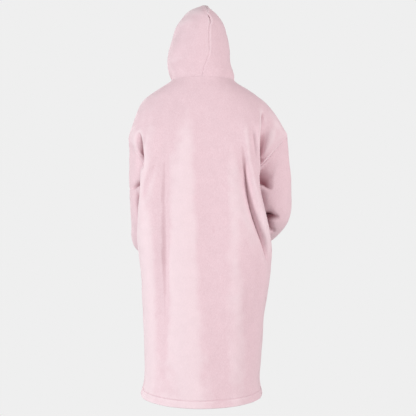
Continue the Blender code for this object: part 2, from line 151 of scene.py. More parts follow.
def panel_edge(side, height, face):
    """Where a panel ends at the side: on the side seam, the armhole or the shoulder seam."""
    low = ROW_HEIGHTS[UNDERARM_ROW]
    high = ROW_HEIGHTS[TIP_ROW]
    if height < low:
        side_y = body_size("side_y", height)
        front = body_size("front_y", height)
        oval = np.array((body_size(side, height) * OVAL_SEAM[0], side_y + (front - side_y) * OVAL_SEAM[1]))
        spot = oval + (np.array(UNDERARM[side][:2]) - oval) * body_size("squeeze", height)
        return np.array((spot[0], spot[1], height))
    if height <= high:
        share = (height - low) / (high - low)
        start = np.array(UNDERARM[side])
        point = start + (np.array(SHOULDER_TIP[side]) - start) * share
        bow = ARMHOLE_BOW[side][0] if face == "back" else -ARMHOLE_BOW[side][1]
        return point + np.array((ARMHOLE_OUT[side], bow, 0)) * math.sin(math.pi * share)
    lowered = height + (SHOULDER_TIP[side][2] - high) * float(smooth(height / high))
    seam = SHOULDER_SEAM[side]
    reach = np.interp(lowered, [row[0] for row in seam], [row[1] for row in seam])
    y = SHOULDER_SEAM_Y + (SHOULDER_TIP[side][1] - SHOULDER_SEAM_Y) * (height / high)
    return np.array((reach, y, lowered))


def chest_point(side, height):
    front = body_size("front_y", height)
    side_y = body_size("side_y", height)
    oval = np.array((body_size(side, height) * OVAL_CHEST[0], side_y + (front - side_y) * OVAL_CHEST[1]))
    return oval + (np.array(SQUEEZED_CHEST) - oval) * body_size("squeeze", height)


def hem_sag(height):
    return HEM_SAG * float(smooth((-90 - height) / 16.6))


def back_half(side, height):
    """Control points of half a section of the back, from centre back to the panel's edge."""
    edge = panel_edge(side, height, "back")
    low = ROW_HEIGHTS[UNDERARM_ROW]
    high = ROW_HEIGHTS[TIP_ROW]
    angles = np.radians((0, 22.5, 45, 67.5, 90))
    if height <= low:
        widest = np.array((body_size(side, height), body_size("side_y", height)))
        centre = (0.0, body_size("back_y", height))
        squeeze = body_size("squeeze", height)
        d = np.hypot(*(edge[:2] - widest))
        pull = d * (1 - 0.6 * squeeze)
        leave = np.array((0.0, -pull))
        arrive = chest_point(side, height) - widest
        arrive = arrive / np.hypot(*arrive) * pull
        s = np.array(((1 / 3,), (2 / 3,)))
        between = (widest * (1 + 2 * s) * (1 - s) ** 2 + edge[:2] * s * s * (3 - 2 * s)
                   + s * (1 - s) * (leave * (1 - s) - arrive * s))
        away = np.array((edge[1] - widest[1], widest[0] - edge[0])) / d
        between = between + away * PRESSED_IN * squeeze
        arc = quarter(centre, widest, angles, body_size("back_power", height))
    else:
        centre = (0.0, float(through([r[0] for r in BACK_CENTRE], [r[1] for r in BACK_CENTRE], [height])[0]))
        rows = [tuple(back_half(side, low)[4:7, :2].reshape(-1))] + [row[1:] for row in BEHIND_ARM[side]]
        share = min((height - low) / (high - low), 1.0)
        marks = through([0.0] + [row[0] for row in BEHIND_ARM[side]], rows, [share])[0].reshape(3, 2)
        arc = quarter(centre, marks[0], angles, 2.5)
        between = marks[1:]
    points = np.concatenate([arc, between, edge[None, :2]])
    if height > high:
        plain = quarter(centre, edge, np.radians((0, 13, 26, 39, 52, 65, 77.5, 90)), 2.15)
        points = points + (plain - points) * float(smooth((height - high) / (FOLD_TOP - high)))
    share = (points[:, 0] / edge[0]) ** 2
    rise = NAPE_RISE * float(np.clip(1 + height / 10, 0, 1))
    heights = height + (edge[2] - height) * share + (rise - hem_sag(height)) * (1 - share)
    return np.column_stack([points, heights])


def above_neck(side):
    turn = np.radians((0, 13, 26, 39, 52, 65, 77.5, 90))
    (nape_y, nape_z), (side_y, side_z) = ABOVE_NECK["nape"], ABOVE_NECK["side"]
    return np.column_stack([ABOVE_NECK[side] * np.sin(turn), side_y + (nape_y - side_y) * np.cos(turn),
                            nape_z + (side_z - nape_z) * np.sin(turn)])


def sampled(net, rows, columns):
    """The smooth surface through a net of control points, read at the given rows and columns of the net."""
    tall = through(np.arange(len(net)), net, rows)
    wide = through(np.arange(net.shape[1]), tall.transpose(1, 0, 2), columns)
    return wide.transpose(1, 0, 2)


def spread(*stretches):
    """Places along a net: (start, end, count) for each stretch, with no place twice."""
    places = [np.linspace(a, b, n, endpoint=False) for a, b, n in stretches]
    return np.concatenate(places + [[stretches[-1][1]]])


def net_of(half):
    left = np.array([half("left", height) for height in ROW_HEIGHTS])
    right = np.array([half("right", height) for height in ROW_HEIGHTS]) * (-1.0, 1.0, 1.0)
    return left, right


left_net, right_net = net_of(back_half)
left_net = np.concatenate([left_net, above_neck("left")[None]])
right_net = np.concatenate([right_net, above_neck("right")[None] * (-1.0, 1.0, 1.0)])
back_net = np.concatenate([left_net[:, ::-1], right_net[:, 1:]], axis=1)
# Rows and columns lie close together along the seams and in the hem, where the cloth turns sharply.
NEAR_SEAM = np.array((0.0, 0.03, 0.07, 0.13, 0.2))
BESIDE_SEAM = 0.3
BACK_MIDDLE = 7
BACK_EDGE = 14
body_rows = np.concatenate([
    spread((0, 0.12, 4), (0.12, 0.92, 6), (0.92, 1.14, 8), (1.14, 2, 8), (2, UNDERARM_ROW, 160),
           (UNDERARM_ROW, TIP_ROW, 58), (TIP_ROW, NECK_ROW - BESIDE_SEAM, 45)),
    NECK_ROW - NEAR_SEAM[::-1]])
underarm_at = int(np.argmin(abs(body_rows - UNDERARM_ROW)))
tip_at = int(np.argmin(abs(body_rows - TIP_ROW)))
back_columns = np.concatenate([
    NEAR_SEAM,
    spread((BESIDE_SEAM, 3, 22), (3, BACK_MIDDLE, 34), (BACK_MIDDLE, 9, 22), (9, 11, 40), (11, 12, 14),
           (12, BACK_EDGE - BESIDE_SEAM, 18)),
    BACK_EDGE - NEAR_SEAM[::-1]])
back_middle = int(np.argmin(abs(back_columns - BACK_MIDDLE)))


def normals_of(grid, closed=False):
    """Unit normals of a grid, to the left of its rows as they run."""
    if closed:
        along = np.roll(grid, -1, axis=1) - np.roll(grid, 1, axis=1)
    else:
        along = np.gradient(grid, axis=1)
    up = np.gradient(grid, axis=0)
    cross = np.cross(along, up)
    return cross / (np.linalg.norm(cross, axis=2, keepdims=True) + 1e-9)


FOLD_POINTS = 60
WIDTHS_REACHED = 3.2


def fold(across, up, stations, crisp):
    """How deep a fold presses the cloth at each point. Each station along it gives its place, its depth and
    how wide it is on its left and on its right, looking at the cloth, for a fold that runs down. A low crisp
    gives a sharp bottom, a high one a round bottom."""
    line = np.array(stations, float)
    steps = np.concatenate([[0], np.cumsum(np.hypot(*np.diff(line[:, :2], axis=0).T))])
    fine = through(steps, line, np.linspace(0, steps[-1], FOLD_POINTS))
    run = np.gradient(fine[:, :2], axis=0)
    pace = np.linalg.norm(run, axis=1)
    run /= pace[:, None]
    reach = WIDTHS_REACHED * fine[:, 3:].max()
    press = np.zeros(across.shape)
    low, high = fine[:, :2].min(axis=0) - reach, fine[:, :2].max(axis=0) + reach
    near = (across > low[0]) & (across < high[0]) & (up > low[1]) & (up < high[1])
    x, z = across[near], up[near]
    at = ((x[:, None] - fine[:, 0]) ** 2 + (z[:, None] - fine[:, 1]) ** 2).argmin(axis=1)
    away_x, away_z = x - fine[at, 0], z - fine[at, 1]
    offset = run[at, 0] * away_z - run[at, 1] * away_x
    along = at + (run[at, 0] * away_x + run[at, 1] * away_z) / pace[at]
    depth, left, right = (np.interp(along, np.arange(FOLD_POINTS), fine[:, k]) for k in (2, 3, 4))
    beyond = np.where(along < 0, -along, np.maximum(along - (FOLD_POINTS - 1), 0)) * pace[at]
    width = np.where(offset > 0, left, right)
    press[near] = depth * np.exp(-(abs(offset) / width) ** crisp - (beyond / width) ** 2)
    return press


def unevenness(grid, size, amount, seed):
    """Slow swells and dips in the cloth, the same on every run."""
    points = grid / size + seed
    values = [noise.noise(p) for p in points.reshape(-1, 3).tolist()]
    return np.array(values).reshape(grid.shape[:2]) * amount


def edge_distance(grid, edge):
    """How far along its row or column each point lies from one edge of the grid."""
    axis = 1 if edge in ("first column", "last column") else 0
    steps = np.linalg.norm(np.diff(grid, axis=axis), axis=2)
    zero = np.zeros_like(steps[:, :1] if axis else steps[:1])
    if edge.startswith("first"):
        return np.concatenate([zero, np.cumsum(steps, axis=axis)], axis=axis)
    reverse = (slice(None), slice(None, None, -1)) if axis else (slice(None, None, -1),)
    return np.concatenate([zero, np.cumsum(steps[reverse], axis=axis)], axis=axis)[reverse]


def seam_dip(distance, depth=0.13, width=0.22, welt=0.05):
    """The line where two panels meet, with the seam allowance raising the cloth beside it."""
    return depth * np.exp(-(distance / width) ** 2) - welt * np.exp(-((distance - 0.65) / 0.35) ** 2)


def hemmed(distance, depth):
    """A turned and stitched edge, as (how far its outside is pressed in, how thick the cloth is there)."""
    doubled = smooth((depth - distance) / 0.3 + 0.5)
    rolled = 0.22 * (1 - np.sqrt(1 - np.clip(1 - distance / 0.28, 0, 1) ** 2))
    drawn = np.exp(-((distance - depth) / 0.17) ** 2)
    return 0.17 * drawn + rolled - 0.1 * doubled, 0.25 * doubled - 0.2 * drawn - 2 * rolled


HEM_DEPTH = 2.5
# Each row: across, up, depth, width on the left, width on the right.
BACK_FOLDS = {
    "pull from the right elbow": (1.25, (
        (-13.2, -21.0, 0.0, 2.4, 1.4), (-13.9, -26.0, 0.6, 2.4, 1.1), (-14.7, -31.5, 1.8, 2.3, 0.9),
        (-16.1, -38.2, 3.0, 2.1, 0.7), (-17.9, -44.3, 3.4, 1.9, 0.65), (-19.7, -49.6, 3.1, 1.8, 0.6),
        (-21.0, -53.4, 2.5, 1.6, 0.6), (-21.9, -57.9, 1.4, 1.4, 0.6), (-22.3, -62.0, 0.4, 1.2, 0.6),
        (-22.4, -65.0, 0.0, 1.1, 0.6))),
    "roll beside the pull": (2.0, (
        (-16.4, -27.0, 0.0, 1.0, 1.2), (-17.2, -33.0, -0.5, 1.0, 1.1), (-18.6, -39.0, -0.8, 0.9, 1.0),
        (-20.2, -45.0, -0.8, 0.8, 0.9), (-21.7, -51.0, -0.6, 0.8, 0.8), (-22.8, -57.0, -0.3, 0.7, 0.7),
        (-23.2, -61.0, 0.0, 0.7, 0.7))),
    "hollow in the roll": (1.7, (
        (-17.0, -15.0, 0.0, 1.2, 1.0), (-17.2, -19.0, 0.6, 1.1, 0.8), (-17.7, -23.0, 0.5, 1.0, 0.8),
        (-18.0, -28.0, 0.0, 1.0, 0.8))),
    "ridge above the pull": (2.0, (
        (-13.9, -12.0, 0.0, 1.8, 1.6), (-14.7, -20.0, -0.55, 1.5, 1.4), (-15.6, -27.0, -0.5, 1.3, 1.2),
        (-16.2, -32.0, 0.0, 1.2, 1.2))),
    "left trough": (1.5, (
        (12.2, -8.0, 0.0, 3.6, 2.6), (12.3, -18.0, 0.35, 3.8, 2.5), (12.4, -27.0, 0.60, 4.0, 2.2),
        (12.6, -40.0, 0.75, 4.2, 2.4),
        (12.5, -51.0, 0.90, 4.0, 2.3), (12.4, -60.0, 1.20, 3.8, 2.1), (12.4, -68.0, 1.00, 4.2, 2.3),
        (12.5, -78.0, 0.80, 4.4, 2.4), (12.7, -90.0, 0.40, 4.4, 2.4), (12.8, -104.0, 0.10, 4.4, 2.8))),
    "middle ridge": (2.0, (
        (4.9, -8.0, 0.0, 4.2, 3.8), (4.9, -26.0, -0.65, 4.2, 3.8), (4.8, -56.0, -0.80, 4.2, 3.8),
        (4.2, -84.0, -0.75, 4.4, 4.0), (3.0, -106.0, -0.55, 4.8, 4.6))),
    "middle trough": (1.9, (
        (-3.6, -12.0, 0.0, 2.8, 2.8), (-3.8, -26.0, 0.16, 2.8, 2.8), (-4.0, -48.0, 0.16, 2.8, 2.8),
        (-4.6, -70.0, 0.20, 2.9, 2.8), (-6.2, -90.0, 0.35, 3.2, 2.8), (-7.4, -106.0, 0.40, 3.6, 3.0))),
    "right ridge": (2.0, (
        (-9.4, -14.0, 0.0, 2.4, 2.4), (-9.8, -28.0, -0.16, 2.4, 2.2), (-10.4, -44.0, -0.18, 2.4, 2.2),
        (-11.2, -62.0, -0.18, 2.6, 2.4), (-12.4, -84.0, -0.15, 2.8, 2.6), (-13.6, -106.0, -0.10, 3.0, 3.0))),
    "low right trough": (1.9, (
        (-15.6, -58.0, 0.0, 2.2, 2.0), (-15.4, -70.0, 0.18, 2.3, 2.1), (-15.7, -84.0, 0.15, 2.4, 2.2),
        (-16.2, -100.0, 0.05, 2.5, 2.4))),
    "left side roll": (2.0, (
        (17.9, -42.0, 0.0, 1.6, 1.8), (17.7, -56.0, -0.35, 1.6, 1.8), (17.6, -74.0, -0.35, 1.8, 2.0),
        (17.6, -96.0, -0.25, 2.0, 2.2), (17.6, -106.0, -0.2, 2.2, 2.4))),
    "drag to the left armhole": (1.7, (
        (13.5, -24.0, 0.0, 1.4, 1.4), (16.0, -29.0, 0.40, 1.3, 1.3), (18.4, -35.0, 0.45, 1.2, 1.2),
        (19.4, -41.0, 0.0, 1.2, 1.2))),
}
# The folds that the lifted arms draw straight down behind the armholes, each under a sharp roll of the back.
ARM_FOLDS = {
    "behind the right arm": (1.35, (
        (-20.4, -10.6, 0.0, 0.3, 0.4), (-20.4, -12.2, 1.2, 0.3, 0.5), (-20.3, -14.5, 2.0, 0.3, 0.8),
        (-20.1, -17.5, 2.1, 0.35, 1.1), (-19.8, -21.0, 1.7, 0.35, 1.2), (-19.8, -24.5, 1.4, 0.35, 1.1),
        (-20.0, -28.5, 1.3, 0.35, 0.9), (-20.2, -31.5, 0.8, 0.35, 0.7))),
    "roll by the right arm": (2.0, (
        (-19.6, -11.5, 0.0, 0.7, 0.5), (-19.3, -15.0, -0.25, 0.8, 0.5), (-18.9, -20.0, -0.35, 0.8, 0.5),
        (-18.9, -26.0, -0.4, 0.7, 0.5), (-19.2, -31.0, -0.2, 0.6, 0.5))),
    "behind the left arm": (1.5, (
        (21.2, -17.4, 0.0, 0.5, 0.4), (20.9, -19.2, 1.8, 0.8, 0.4), (20.5, -22.5, 2.4, 0.9, 0.4),
        (20.1, -25.8, 2.2, 0.9, 0.4), (19.8, -29.4, 0.4, 0.8, 0.4))),
}


def folded(across, up, folds):
    return sum(fold(across, up, rows, crisp) for crisp, rows in folds)


def eased(grid, times, closed=False, ways=(0, 1)):
    """The grid with every point drawn towards its neighbours, up and down (0) and along its row (1)."""
    for _ in range(times):
        for axis in ways:
            if axis == 1 and closed:
                grid = (np.roll(grid, 1, axis=1) + 2 * grid + np.roll(grid, -1, axis=1)) / 4
                continue
            points = grid if axis == 0 else grid.transpose(1, 0, 2)
            points = np.concatenate([points[:1], points, points[-1:]])
            points = (points[:-2] + 2 * points[1:-1] + points[2:]) / 4
            grid = points if axis == 0 else points.transpose(1, 0, 2)
    return grid


def painted_shade_and_highlight(grid, out, closed=False):
    """Painted shade, up to 2 deep in a fold, 0 on open cloth, and painted highlight, -1 along a crest."""
    near = np.einsum("ijk,ijk->ij", eased(grid, 6, closed) - grid, out) / 0.1
    wide = np.einsum("ijk,ijk->ij", eased(grid, 60, closed) - grid, out)
    return np.clip(0.6 * np.clip(near, -1, 1) + 0.9 * np.clip(wide, -1, 2), -1, 2)


def new_piece(name, points, faces):
    mesh = bpy.data.meshes.new(name)
    mesh.from_pydata((points * CM).tolist(), [], faces)
    mesh.update()
    mesh.shade_smooth()
    piece = bpy.data.objects.new(name, mesh)
    bpy.context.scene.collection.objects.link(piece)
    return piece


def sew_cloth(name, outside, thick, closed=False, least_fold_shade=-1.0):
    """A cloth piece: its outside face, an inside face that far behind it, and the cut edge all round. Its
    outside carries painted shade in its folds and a painted highlight on its crests, the shade at least as
    deep as the last argument says, for the deep folds."""
    rows, columns = outside.shape[:2]
    out = normals_of(outside, closed) * turned_out[name]
    inside = outside - out * np.asarray(thick)[..., None]
    count = rows * columns
    i, j = np.meshgrid(np.arange(rows - 1), np.arange(columns if closed else columns - 1), indexing="ij")
    k = (j + 1) % columns
    low_row, high_row = i * columns, (i + 1) * columns
    quads = np.stack([low_row + j, low_row + k, high_row + k, high_row + j], axis=-1).reshape(-1, 4)
    ends = []
    for a, b in ((0, 1), ((rows - 1) * columns, -1)):
        j = np.arange(columns if closed else columns - 1)
        k = (j + 1) % columns
        ends.append(np.stack([a + k, a + j, a + j + count, a + k + count], axis=-1)[:, ::b])
    if not closed:
        for a, b in ((0, -1), (columns - 1, 1)):
            i = np.arange(rows - 1) * columns + a
            ends.append(np.stack([i + columns, i, i + count, i + columns + count], axis=-1)[:, ::b])
    faces = np.concatenate([quads, quads[:, ::-1] + count] + ends)
    if turned_out[name] < 0:
        faces = faces[:, ::-1]
    piece = new_piece(name, np.concatenate([outside.reshape(-1, 3), inside.reshape(-1, 3)]), faces.tolist())
    # Painted light for the material: shade painted into the folds, a highlight painted on the crests.
    painted_light = np.maximum(painted_shade_and_highlight(outside, out, closed), least_fold_shade).reshape(-1)
    painted_light_layer = piece.data.attributes.new("painted_shade_and_highlight", "FLOAT", "POINT")
    painted_light_layer.data.foreach_set("value", np.concatenate([painted_light, np.zeros(count)]).astype(np.float32))
    return piece


# Which way a panel's rows and columns turn: 1 where the left of its rows is its outside.
turned_out = {"back_of_hoodie": 1, "front_of_hoodie": 1, "left_sleeve": 1, "right_sleeve": -1,
              "left_half_of_hood": -1, "right_half_of_hood": 1}
# The shoulder blades carry the cloth over softly above the arms, and it runs up into the hood without a
# ledge: some rows above the neckline take part in the easing and are then left off.
BLADE_EASING = 160
NECK_EASING = 50
into_hood = spread((NECK_ROW + 0.08, NECK_ROW + 1, 11))
back = sampled(back_net, np.concatenate([body_rows, into_hood]), back_columns)
soft = smooth((back[..., 2] + 32) / 10) * smooth((-2 - back[..., 2]) / 5)
for edge in ("first column", "last column"):
    soft = soft * smooth(edge_distance(back, edge) / 7)
back = back + (eased(back, BLADE_EASING, ways=(0,)) - back) * soft[..., None]
back = back + (eased(back, NECK_EASING, ways=(0,)) - back) * smooth((back[..., 2] + 7) / 4)[..., None]
back = back[:len(body_rows)]
# The size and height of the swells in all the body's cloth, and of the small ones on them.
SWELLS = (7.0, 0.16)
SMALL_SWELLS = (2.6, 0.05)
# The folds of the back fade out before its side seams, and those behind the arms just short of the armholes.
press = folded(back[..., 0], back[..., 2], BACK_FOLDS.values())
press = press * smooth((back_columns - 2.0) / 0.8) * smooth((11.9 - back_columns) / 0.7)
arm_press = folded(back[..., 0], back[..., 2], ARM_FOLDS.values())
to_armhole = np.minimum(edge_distance(back, "first column"), edge_distance(back, "last column"))
arm_press = arm_press * smooth((back[..., 2] + 35) / 4) * smooth((to_armhole - 0.4) / 0.8)
press = press + arm_press
press = press * smooth(edge_distance(back, "last row") / 6)
press = press + unevenness(back, *SWELLS, 3.1) + unevenness(back, *SMALL_SWELLS, 8.4)
hem_press, hem_thick = hemmed(edge_distance(back, "first row"), HEM_DEPTH)
press = press + hem_press
# The seam lies deeper where it goes round the armhole.
armhole = smooth((back[..., 2] + 40) / 4) * smooth((-16 - back[..., 2]) / 4)
for edge in ("first column", "last column"):
    press = press + seam_dip(edge_distance(back, edge)) * (1 + 1.2 * armhole)
back = back - normals_of(back) * press[..., None]
# The folds behind the arms get painted shade as deep as they are pressed in.
back_piece = sew_cloth("back_of_hoodie", back, FLEECE_THICKNESS + hem_thick, least_fold_shade=1.4 * arm_press - 1)


STITCH_LONG = 0.30
STITCH_APART = 0.38
THREAD_RADIUS = 0.036
SIDES = 6
# Along a stitch, from end to end: the place, and how thick the thread is there.
STITCH_RINGS = ((-1.0, 0.35), (-0.7, 0.9), (0.0, 1.1), (0.7, 0.9), (1.0, 0.35))


def stitching(name, cloth, out, edge, depth, closed=False):
    """A row of thread stitches in the drawn-in line that runs at that depth from an edge of the cloth."""
    if edge.endswith("column"):
        cloth, out, edge = cloth.transpose(1, 0, 2), out.transpose(1, 0, 2), edge.replace("column", "row")
    gap = edge_distance(cloth, edge)
    step = 1 if edge.startswith("first") else -1
    both = np.concatenate([cloth, out], axis=2)
    place_and_out = range(both.shape[2])
    line = np.array([[np.interp(depth, gap[::step, c], both[::step, c, k]) for k in place_and_out]
                     for c in range(cloth.shape[1])])
    if closed:
        line = np.concatenate([line, line[:1]])
    along = np.concatenate([[0], np.cumsum(np.linalg.norm(np.diff(line[:, :3], axis=0), axis=1))])
    count = int((along[-1] - STITCH_APART) / STITCH_APART)
    middles = (np.arange(count) + 0.5) * along[-1] / count
    a, b, m = (np.stack([np.interp(middles + way * STITCH_LONG / 2, along, line[:, k])
                         for k in place_and_out], axis=1) for way in (-1, 1, 0))
    up = m[:, 3:] / np.linalg.norm(m[:, 3:], axis=1, keepdims=True)
    half = (b - a)[:, :3] / 2
    side = np.cross(up, half)
    side = side / np.linalg.norm(side, axis=1, keepdims=True)
    points = []
    for t, wide in STITCH_RINGS:
        core = m[:, :3] + half * t + up * THREAD_RADIUS * (0.9 - 1.1 * t * t)
        for turn in np.arange(SIDES) * 2 * math.pi / SIDES:
            points.append(core + (side * math.cos(turn) + up * math.sin(turn)) * THREAD_RADIUS * wide)
    points = np.array(points).transpose(1, 0, 2)
    each = len(STITCH_RINGS) * SIDES
    rings = []
    for start in range(0, each - SIDES, SIDES):
        for k in range(SIDES):
            following = start + (k + 1) % SIDES
            rings.append((start + k, following, following + SIDES, start + k + SIDES))
    caps = [tuple(range(SIDES))[::-1], tuple(range(each - SIDES, each))]
    faces = [tuple(v + each * n for v in face) for n in range(count) for face in rings + caps]
    return new_piece(name, points.reshape(-1, 3), faces)


def new_material(name):
    material = bpy.data.materials.new(name)
    material.use_nodes = True
    nodes = material.node_tree.nodes
    return material, nodes, nodes["Principled BSDF"]


def add(nodes, kind, values=()):
    """A new shader node, with the values that its inputs get."""
    node = nodes.new("ShaderNode" + kind)
    for socket, value in dict(values).items():
        node.inputs[socket].default_value = value
    return node


def join(tree, *links):
    """Each link: a node, its output, the next node and its input."""
    for before, output, after, socket in links:
        tree.links.new(before.outputs[output], after.inputs[socket])


def thread(name, colour):
    """Spun sewing thread: two plies twisted together, with a slight shine."""
    material, nodes, shader = new_material(name)
    place = add(nodes, "TexCoord")
    plies = add(nodes, "TexWave", {"Scale": 900.0, "Distortion": 1.5})
    plies.bands_direction = "DIAGONAL"
    shade = add(nodes, "ValToRGB")
    shade.color_ramp.elements[0].color = (*(c * 0.82 for c in colour), 1)
    shade.color_ramp.elements[1].color = (*colour, 1)
    relief = add(nodes, "Bump", {"Strength": 0.5, "Distance": 0.0002})
    join(material.node_tree, (place, "Object", plies, "Vector"), (plies, "Fac", shade, "Fac"),
         (plies, "Fac", relief, "Height"), (shade, "Color", shader, "Base Color"),
         (relief, "Normal", shader, "Normal"))
    shader.inputs["Roughness"].default_value = 0.55
    shader.inputs["Sheen Weight"].default_value = 0.2
    return material


def fleece(name, colour):
    """Thick brushed fleece: short soft fibres that lie in small clumps, matt, paler where light grazes it,
    with shade painted deeper in colour into its folds and a highlight painted paler along its crests."""
    material, nodes, shader = new_material(name)
    place = add(nodes, "TexCoord")
    lie = add(nodes, "Mapping", {"Scale": (1.0, 1.0, 0.45)})
    clumps = add(nodes, "TexNoise", {"Scale": 420.0, "Detail": 4.0, "Roughness": 0.62})
    patches = add(nodes, "TexNoise", {"Scale": 34.0, "Detail": 3.0})
    fibres = add(nodes, "TexNoise", {"Scale": 1100.0, "Detail": 2.0})
    shade = add(nodes, "ValToRGB")
    for end, position, tint in ((0, 0.30, (0.93, 0.89, 0.90)), (1, 0.68, (1.04, 1.06, 1.06))):
        stop = shade.color_ramp.elements[end]
        stop.position = position
        stop.color = (*(min(1.0, c * t) for c, t in zip(colour, tint)), 1)
    tone = add(nodes, "MapRange", {"From Min": 0.3, "From Max": 0.7, "To Min": 0.98, "To Max": 1.015})
    worn = add(nodes, "Mix", {"Factor": 1.0})
    worn.data_type = "RGBA"
    worn.blend_type = "MULTIPLY"
    # Painted shade: the colour is darkened and reddened in the folds. Painted highlight: it is paled along
    # the crests.
    painted_light = add(nodes, "Attribute")
    painted_light.attribute_name = "painted_shade_and_highlight"
    shade_in_folds_mix, highlight_on_crests_mix = add(nodes, "Mix"), add(nodes, "Mix")
    deeper = add(nodes, "MapRange", {"From Min": 0.45, "From Max": 1.8, "To Max": 1.0})
    paler = add(nodes, "MapRange", {"From Min": -0.35, "From Max": -1.0, "To Max": 0.5})
    # The colours of the painted shade in the folds and of the painted highlight on the crests.
    painted_fold_shade_colour = tuple(c * t for c, t in zip(colour, (0.50, 0.30, 0.33)))
    painted_crest_highlight_colour = tuple(c + (1 - c) * 0.3 for c in colour)
    for mix, amount, colour_there in ((shade_in_folds_mix, deeper, painted_fold_shade_colour), (highlight_on_crests_mix, paler, painted_crest_highlight_colour)):
        mix.data_type = "RGBA"
        mix.inputs["B"].default_value = (*colour_there, 1)
        join(material.node_tree, (painted_light, "Fac", amount, "Value"), (amount, "Result", mix, "Factor"))
    rough = add(nodes, "MapRange", {"To Min": 0.88, "To Max": 1.0})
    pile = add(nodes, "Math", {1: 0.35})
    pile.operation = "MULTIPLY_ADD"
    relief = add(nodes, "Bump", {"Strength": 0.55, "Distance": 0.0011})
    join(material.node_tree, (place, "Object", lie, "Vector"), (lie, "Vector", clumps, "Vector"),
         (lie, "Vector", fibres, "Vector"), (place, "Object", patches, "Vector"),
         (clumps, "Fac", shade, "Fac"), (patches, "Fac", tone, "Value"),
         (shade, "Color", shade_in_folds_mix, "A"), (shade_in_folds_mix, "Result", highlight_on_crests_mix, "A"),
         (highlight_on_crests_mix, "Result", worn, "A"), (tone, "Result", worn, "B"),
         (worn, "Result", shader, "Base Color"),
         (clumps, "Fac", rough, "Value"), (rough, "Result", shader, "Roughness"),
         (fibres, "Fac", pile, 0), (clumps, "Fac", pile, 2),
         (pile, "Value", relief, "Height"), (relief, "Normal", shader, "Normal"))
    shader.inputs["Specular IOR Level"].default_value = 0.15
    shader.inputs["Sheen Weight"].default_value = 0.35
    shader.inputs["Sheen Roughness"].default_value = 0.45
    shader.inputs["Sheen Tint"].default_value = (1.0, 0.93, 0.94, 1)
    return material


PINK = (0.72, 0.53, 0.57)
pink_fleece = fleece("pink_brushed_fleece", PINK)
back_piece.data.materials.append(pink_fleece)
pink_thread = thread("pink_sewing_thread", (0.70, 0.49, 0.54))
back_stitches = stitching("hem_stitches_of_back", back, normals_of(back), "first row", HEM_DEPTH)
back_stitches.data.materials.append(pink_thread)
for piece in (back_piece, back_stitches):
    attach(piece, "root")
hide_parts("back_panel")


# FRONT PANEL
# One piece of the same fleece, cut lower at the neck. It is sewn to the back down both sides and over the
# shoulders. The forearms in front of it press its sides in under the arms and gather it into loose folds.
FRONT_CENTRE = ((-37.0, -14.3), (-28.0, -14.0), (-18.2, -13.4), (-10.0, -12.2), (-5.0, -11.1), (0.0, -9.6))
NECK_DROP = 7.0


def front_half(side, height):
    """Control points of half a section of the front, from the panel's edge to centre front."""
    edge = panel_edge(side, height, "front")
    low = ROW_HEIGHTS[UNDERARM_ROW]
    if height <= low:
        centre = np.array((0.0, body_size("front_y", height)))
        chest = chest_point(side, height)
    else:
        y = float(through([r[0] for r in FRONT_CENTRE], [r[1] for r in FRONT_CENTRE], [height])[0])
        centre = np.array((0.0, y))
        free = np.array((edge[0] * 0.62, edge[1] + (y - edge[1]) * 0.80))
        chest = np.array(SQUEEZED_CHEST)
        chest = chest + (free - chest) * float(smooth((height - low) / 16))
    mirrored = np.array((-chest[0], chest[1]))
    knots = np.concatenate([[0], np.cumsum([np.hypot(*(chest - edge[:2])), np.hypot(*(centre - chest)),
                                            np.hypot(*(mirrored - centre))])])
    at = np.concatenate([np.linspace(0, knots[1], 4), np.linspace(knots[1], knots[2], 4)[1:]])
    points = through(knots, np.array([edge[:2], chest, centre, mirrored]), at)
    share = (points[:, 0] / edge[0]) ** 2
    drop = NECK_DROP * float(np.clip(1 + height / 18.2, 0, 1))
    heights = height + (edge[2] - height) * share - (drop + hem_sag(height)) * (1 - share)
    return np.column_stack([points, heights])


FRONT_MIDDLE = 6
FRONT_EDGE = 12
front_columns = np.concatenate([
    NEAR_SEAM, spread((BESIDE_SEAM, 3, 22), (3, 9, 60), (9, FRONT_EDGE - BESIDE_SEAM, 22)),
    FRONT_EDGE - NEAR_SEAM[::-1]])
front_middle = int(np.argmin(abs(front_columns - FRONT_MIDDLE)))
left_net, right_net = net_of(front_half)
front = sampled(np.concatenate([right_net, left_net[:, ::-1][:, 1:]], axis=1), body_rows, front_columns)


def brought_to(panel, edge, rows, target, reach=3.0):
    """The panel with one edge moved onto the edge that it is sewn to, and the cloth beside it eased over."""
    at = 0 if edge.startswith("first") else -1
    by = np.zeros_like(panel[:, at])
    by[rows] = target - panel[rows, at]
    ease = 1 - smooth(edge_distance(panel, edge) / reach)
    return panel + by[:, None] * ease[..., None]


